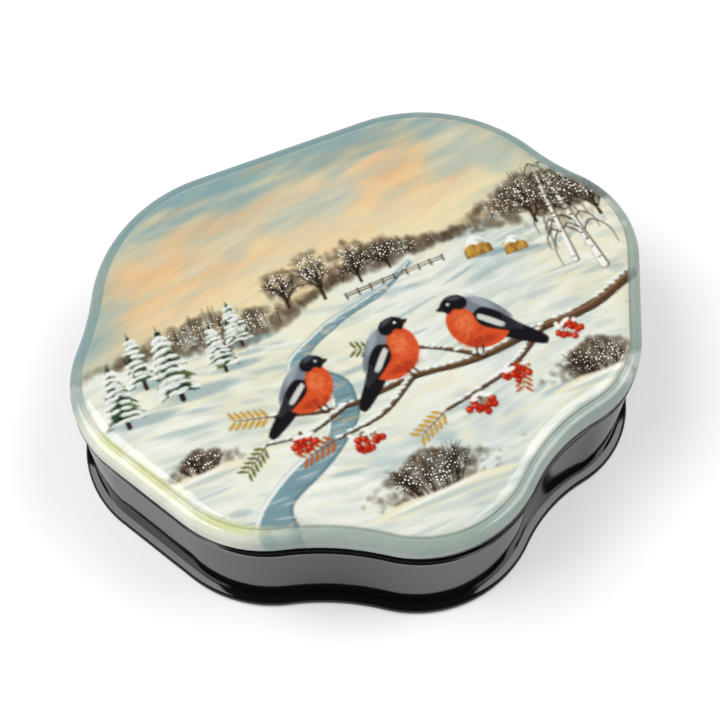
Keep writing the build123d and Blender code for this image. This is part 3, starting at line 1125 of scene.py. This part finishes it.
# Where each motif stands, and its sizes in the order in which its function takes them
far_woods = [(-34, 30, 6.5), (10, 22, 4.0), (52, 26, 8.0)]
frosted_trees = [(-16, 13, 11), (-7, 12, 14), (3, 13, 12), (11, 14, 9)]
frosted_trees += [(50, 12, 14), (59, 9, 17), (66, 8, 14)]
haystacks = [(33, 8, 3.6), (42, 5.5, 3.0)]
fences = [((-2, 9.5), (24, 10.5), 9)]
firs = [(-55, 6, 15), (-30, 8, 12), (-62, -2, 17), (-48, 0, 20), (-36, 3, 13)]
birches = [(60, -6, 34, -3), (54, -2, 27, 2)]
bushes = [(-2, -45, 15, 11), (47, -32, 12, 9), (-50, -20, 8, 6)]
branches = [
    (2.3, 0.7, [(66, -10), (52, -15), (36, -16), (20, -17.5), (4, -16), (-14, -17), (-30, -13)]),
    (1.3, 0.5, [(38, -16), (28, -22), (18, -25), (8, -27)]),
    (1.1, 0.45, [(4, -16), (-6, -22), (-18, -24)]),
    (0.9, 0.4, [(22, -17.4), (12, -11), (2, -7)]),
    (0.8, 0.35, [(-14, -17), (-24, -20), (-34, -19)]),
]
leaves = [
    (8, -27, 9, 205, "leaf_gold"),
    (-18, -24, 9, 190, "leaf_rust"),
    (-30, -13, 9, 165, "leaf_gold"),
    (2, -7, 8, 160, "leaf_green"),
    (30, -21, 8, 250, "leaf_rust"),
    (-34, -19, 8, 215, "leaf_green"),
]
berries = [(16, -29, 16, 3.6), (-12, -27, 16, 3.6), (27, -25, 12, 3.0)]
berries += [(-26, -22, 12, 3.0), (44, -19, 14, 3.2)]
bullfinches = [(24, -8.5, 11.5, -1, 8), (2, -8.0, 11.0, 1, 12), (-20, -9.0, 10.0, 1, 4)]


def paint_picture(points, normals):
    """The whole picture, from the sky to the rim, each motif over the ones before it."""
    half_x, half_y = (size / 2 / MM + picture_margin for size in (lid_length, lid_width))
    picture = Picture(half_x, half_y, picture_pitch, picture_seed)
    for paint, places in (
        (paint_sky, [()]),
        (paint_snow, [()]),
        (paint_far_woods, far_woods),
        (paint_stream, [()]),
        (paint_frosted_tree, frosted_trees),
        (paint_haystack, haystacks),
        (paint_fence, fences),
        (paint_fir, firs),
        (paint_birch, birches),
        (paint_bush, bushes),
        (paint_branch, branches),
        (paint_leaf, leaves),
        (paint_berries, berries),
        (paint_bullfinch, bullfinches),
    ):
        for place in places:
            paint(picture, *place)
    paint_rim(picture, points, normals)
    return picture


def lay_picture(piece, picture, places):
    """Gives each of the piece's points the picture's colour and frost at its place, in metres."""
    x, y = places[:, 0] / MM, places[:, 1] / MM
    colours = np.ones((len(places), 4))
    colours[:, :3] = to_linear(np.clip(picture.read(picture.colour, x, y), 0, 1))
    paint = piece.data.color_attributes.new("paint", "FLOAT_COLOR", "POINT")
    paint.data.foreach_set("color", colours.ravel())
    frost = piece.data.attributes.new("frost", "FLOAT", "POINT")
    frost.data.foreach_set("value", picture.read(picture.frost, x, y))


# Pieces

def nearest_points(places, loop):
    """The number of the loop's point that is nearest to each place."""
    nearest = np.empty(len(places), int)
    for start in range(0, len(places), block_size):
        block = places[start:start + block_size]
        away = block[:, None, :] - loop[None, :, :]
        nearest[start:start + block_size] = np.argmin((away ** 2).sum(2), axis=1)
    return nearest


def depth_inside(places, loop, normals):
    """How far each place lies inside a loop."""
    nearest = nearest_points(places, loop)
    return ((loop[nearest] - places) * normals[nearest]).sum(1)


def base_rim():
    """Section of the base's rim above its lower round: a small round, a gentle slope and a flat ledge."""
    gentle, steep = (90.0 - slope for slope in base_slope)
    edge = arc(base_reach - base_edge_round, 0.0, base_edge_round, 0.0, steep, edge_steps)
    ledge_reach = base_ledge - wall_inset
    turn = math.cos(math.radians(steep)) - math.cos(math.radians(gentle))
    slope = arc(0.0, 0.0, (edge[-1][0] - ledge_reach) / turn, steep, gentle, slope_steps)
    foot_reach, foot_z = slope[-1]
    slope = [(reach - foot_reach + ledge_reach, z - foot_z + base_top_z) for reach, z in slope]
    drop = slope[0][1] - edge[-1][1]
    edge = [(reach, z + drop) for reach, z in edge[:-1]]
    return edge + slope + [(ledge_reach - flat_support, base_top_z)]


def make_base(points, normals, finishes):
    """Base board: black outside the wall and red inside it."""
    inner = wall_inner_reach - overrun
    section = [(inner, floor_z)]
    section += arc(base_reach - base_low_round, floor_z + base_low_round, base_low_round, -90, 0)
    section += base_rim()
    section += [(-wall_inset - wall_thickness / 2, base_top_z), (inner, base_top_z)]
    bands = [OUTSIDE] * (len(section) - 2) + [INSIDE]
    vertices = sweep(section, points, normals)
    ends = (OUTSIDE, INSIDE)
    piece = swept_piece("base_board_lacquered", vertices, len(points), finishes, bands, ends)
    return sharpen(piece, degrees=40)


def flare_share(z):
    """How far the wall has flared out at a level: 0 at the flare's foot and 1 at the seam."""
    above = z - flare_foot_z
    bent = min(max((above + flare_blend) / (2 * flare_blend), 0), 1)
    return (bent ** 2 * flare_blend + max(above - flare_blend, 0)) / flare_height


def make_wall(points, normals, finishes):
    """Wall: black outside, with a flare under the lid, and red inside."""
    outer = -wall_inset
    top = outer + flare_reach
    flare_z = np.linspace(flare_foot_z - flare_blend, seam_z - wall_top_round, flare_steps)
    section = [(outer, base_top_z)] + [(outer + flare_reach * flare_share(z), z) for z in flare_z]
    section += arc(top - wall_top_round, seam_z - wall_top_round, wall_top_round, 0, 90, small_steps)[1:]
    section += [((top + wall_inner_reach) / 2, seam_z)]
    section += [(wall_inner_reach, seam_z), (wall_inner_reach, base_top_z)]
    bands = [OUTSIDE] * (len(section) - 3) + [INSIDE, INSIDE, OUTSIDE]
    vertices = sweep(section, points, normals)
    around = len(points)
    front = smooth(points[:, 1], *front_flare_y) * smooth(np.abs(points[:, 0]), *front_flare_x)
    for row, (_, z) in enumerate(section[:-2]):
        here = slice(row * around, (row + 1) * around)
        vertices[here, :2] += normals * (front * front_flare_reach * flare_share(z))[:, None]
    piece = swept_piece("wall_shell_lacquered", vertices, around, finishes, bands)
    cut(piece, hinge_cutters(-1, finishes[OUTSIDE]))
    return sharpen(piece, degrees=30)


def lid_section():
    """Section of the lid below its panel, from the hollow outward: its underside, and its edge and rim."""
    ceiling = lid_high.z - lid_thickness
    under = arc(lip_inner_reach - hollow_round, ceiling - hollow_round, hollow_round, 90, 0, slope_steps)
    under += [(lip_inner_reach, seam_z)]
    edge = arc(-lid_low_round, seam_z + lid_low_round, lid_low_round, -90, 0, small_steps)
    middle_z = rim_z - lid_round_height
    levels = np.linspace(seam_z + lid_low_round, middle_z, round_steps, endpoint=False)
    edge += [(0.0, z) for z in levels[1:]]
    edge += ellipse(-lid_round_width, middle_z, lid_round_width, lid_round_height, lid_edge_steps)
    return under, edge + [(-rim_width - overrun, rim_z)]


def make_lid(points, normals, picture, finishes, cut_finish):
    """Lid below its panel: red hollow and underside, painted edge and rim."""
    under, edge = lid_section()
    bands = [INSIDE] * len(under) + [OUTSIDE] * (len(edge) - 1)
    vertices = sweep(under + edge, points, normals)
    ends = (INSIDE, OUTSIDE)
    piece = swept_piece("lid_board_lacquered", vertices, len(points), finishes, bands, ends)
    cut(piece, hinge_cutters(1, cut_finish))
    lay_picture(piece, picture, places_down_edge(piece, points, normals))
    return sharpen(piece, degrees=40)


def places_down_edge(piece, points, normals):
    """Where each point of the lid lies in the picture, which runs on down the lid's edge."""
    corners = np.empty(3 * len(piece.data.vertices))
    piece.data.vertices.foreach_get("co", corners)
    corners = corners.reshape(-1, 3)
    outward = normals[nearest_points(corners[:, :2], points)]
    return corners[:, :2] + outward * ((rim_z - corners[:, 2]) * edge_spread)[:, None]


def make_panel(points, normals, picture, finish):
    """Raised panel: a rounded shoulder round a gently domed top."""
    reach = -rim_width - shoulder_width
    section = [(-rim_width - overrun, rim_z - panel_sink)]
    section += arc(-rim_width + rim_cove, rim_z + rim_cove, rim_cove, 270, 180, small_steps)
    section += ellipse(reach, panel_z - shoulder_height, shoulder_width, shoulder_height, shoulder_steps)
    around, rows = len(points), len(section)
    loop = points + normals * reach
    grid, triangles = fill_grid(loop, normals)
    rise = panel_dome * (1 - np.exp(-depth_inside(grid, loop, normals).clip(0) / dome_width))
    first = (rows - 1) * around
    side = sweep(section[:-1], points, normals)
    vertices = np.concatenate([side, np.column_stack([grid, panel_z + rise])])
    faces = ring_faces(rows - 1, rows, around)
    faces += [tuple(first + k for k in triangle) for triangle in triangles]
    faces.append(tuple(range(around - 1, -1, -1)))
    piece = new_piece("lid_panel_painted", vertices, faces, [finish])
    lay_picture(piece, picture, vertices)
    return sharpen(piece, degrees=50)


def fill_grid(loop, normals):
    """Even triangles inside a loop: its own points first, then a close-packed grid."""
    low, high = loop.min(0), loop.max(0)
    places = []
    for j, y in enumerate(np.arange(low[1], high[1], panel_step * math.sqrt(0.75))):
        xs = np.arange(low[0], high[0], panel_step) + j % 2 * panel_step / 2
        places.append(np.column_stack([xs, np.full(len(xs), y)]))
    places = np.concatenate(places)
    places = places[depth_inside(places, loop[::fill_stride], normals[::fill_stride]) > panel_margin]
    vectors = [Vector(p) for p in loop] + [Vector(p) for p in places]
    edges = [(i, (i + 1) % len(loop)) for i in range(len(loop))]
    grid, _, triangles, *_ = delaunay_2d_cdt(vectors, edges, [], 1, 1e-9)
    return np.array([tuple(v) for v in grid]), triangles


def make_lip(points, normals, finish):
    """Ring under the lid, with a bevel that finds the wall."""
    section = [
        (lip_inner_reach, lip_low.z),
        (lip_reach - lip_bevel, lip_low.z),
        (lip_reach, lip_low.z + lip_bevel),
        (lip_reach, seam_z),
        (lip_inner_reach, seam_z),
    ]
    vertices = sweep(section, points, normals)
    bands = [OUTSIDE] * len(section)
    piece = swept_piece("lid_lip_lacquered", vertices, len(points), [finish], bands)
    return sharpen(piece, degrees=30)


# Stage, light and camera

def make_floor():
    """Pale matt floor, a little brighter to the camera than its light makes it."""
    finish, tree, _ = new_finish("pale_floor")
    camera_ray = add_node(tree, "ShaderNodeLightPath", {}, {}, "Is Camera Ray")
    values = {
        "Base Color": rgb(240, 240, 240),
        "Roughness": 1.0,
        "Specular IOR Level": 0.0,
        "Emission Color": blend(tree, camera_ray, grey(0.0), grey(floor_lift)),
        "Emission Strength": 1.0,
    }
    close_finish(tree, values)
    corners = [(x * stage_half, y * stage_half, 0) for x, y in ((-1, -1), (1, -1), (1, 1), (-1, 1))]
    floor = new_piece("floor", corners, [(0, 1, 2, 3)], [finish])
    return floor


def make_world():
    """White where the camera sees it; for reflections white low down and dark above, as in a studio."""
    world = bpy.data.worlds.new("studio")
    bpy.context.scene.world = world
    world.use_nodes = True
    tree = world.node_tree
    tree.nodes.clear()
    way = add_node(tree, "ShaderNodeTexCoord", {}, {}, "Generated")
    dusk = 1.0 - between(tree, part_of(tree, way, "Z"), *dusk_levels) * dusk_depth
    rays = ("Is Glossy Ray", "Is Transmission Ray", "Is Camera Ray")
    glossy, clear, camera_ray = (add_node(tree, "ShaderNodeLightPath", {}, {}, ray) for ray in rays)
    seen = (camera_ray + clear).clipped()
    strength = seen + (1.0 - seen) * (glossy * dusk + (1.0 - glossy) * sky_fill)
    background = add_node(tree, "ShaderNodeBackground", {}, {"Color": grey(1.0), "Strength": strength})
    add_node(tree, "ShaderNodeOutputWorld", {}, {"Surface": background})


def toward(heading, elevation):
    """Direction at a heading counterclockwise from +X and an elevation, in degrees."""
    turn, rise = math.radians(heading), math.radians(elevation)
    return Vector((math.cos(turn) * math.cos(rise), math.sin(turn) * math.cos(rise), math.sin(rise)))


def stand(thing, place, way):
    """Puts a lamp or camera at a place, with its back to the way given."""
    thing.location = place
    thing.rotation_euler = way.to_track_quat("Z", "Y").to_euler()
    bpy.context.scene.collection.objects.link(thing)


def add_softbox(name, heading, elevation, width, height, brightness):
    """A soft lamp that faces the box and isn't seen by the camera."""
    data = bpy.data.lights.new(name, "AREA")
    data.shape = "RECTANGLE"
    data.size = width * lamp_distance
    data.size_y = height * lamp_distance
    data.energy = brightness * math.pi * data.size * data.size_y
    lamp = bpy.data.objects.new(name, data)
    lamp.visible_camera = False
    way = toward(heading, elevation)
    stand(lamp, way * lamp_distance, way)


def make_camera():
    """The camera, at the azimuth and elevation given from the front."""
    data = bpy.data.cameras.new("camera")
    data.lens = camera_lens
    data.sensor_width = camera_sensor
    camera = bpy.data.objects.new("camera", data)
    way = toward(camera_azimuth - 90, camera_elevation)
    stand(camera, camera_aim + way * camera_distance, way)
    bpy.context.scene.camera = camera


points, normals = trace_outline()
picture = paint_picture(points, normals)
black = black_lacquer()
red = red_lacquer()
brass = hinge_brass()
painted = painted_lacquer()

base = make_base(points, normals, [black, red])
wall = make_wall(points, normals, [black, red])
lid = make_lid(points, normals, picture, [painted, red], black)
panel = make_panel(points, normals, picture, painted)
lip = make_lip(points, normals, red)

for piece, body, node, slot in (
    (base, "box", "base_board", "black_lacquer"),
    (wall, "box", "wall_shell", "black_lacquer"),
    (lid, "lid", "lid_board", "picture_lacquer"),
    (panel, "lid", "lid_board", "picture_lacquer"),
    (lip, "lid", "lid_lip", "red_lacquer"),
):
    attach(piece, body)
    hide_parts(node)

for name in ("hinge_body_leaf", "hinge_lid_leaf", "hinge_pin", "hinge_body_brads", "hinge_lid_brads"):
    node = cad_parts[name]
    node.data.materials.clear()
    node.data.materials.append(brass)

make_floor()
make_world()
for name, facts in softboxes.items():
    add_softbox(name, *facts)
make_camera()
bpy.context.scene.view_settings.view_transform = "Standard"
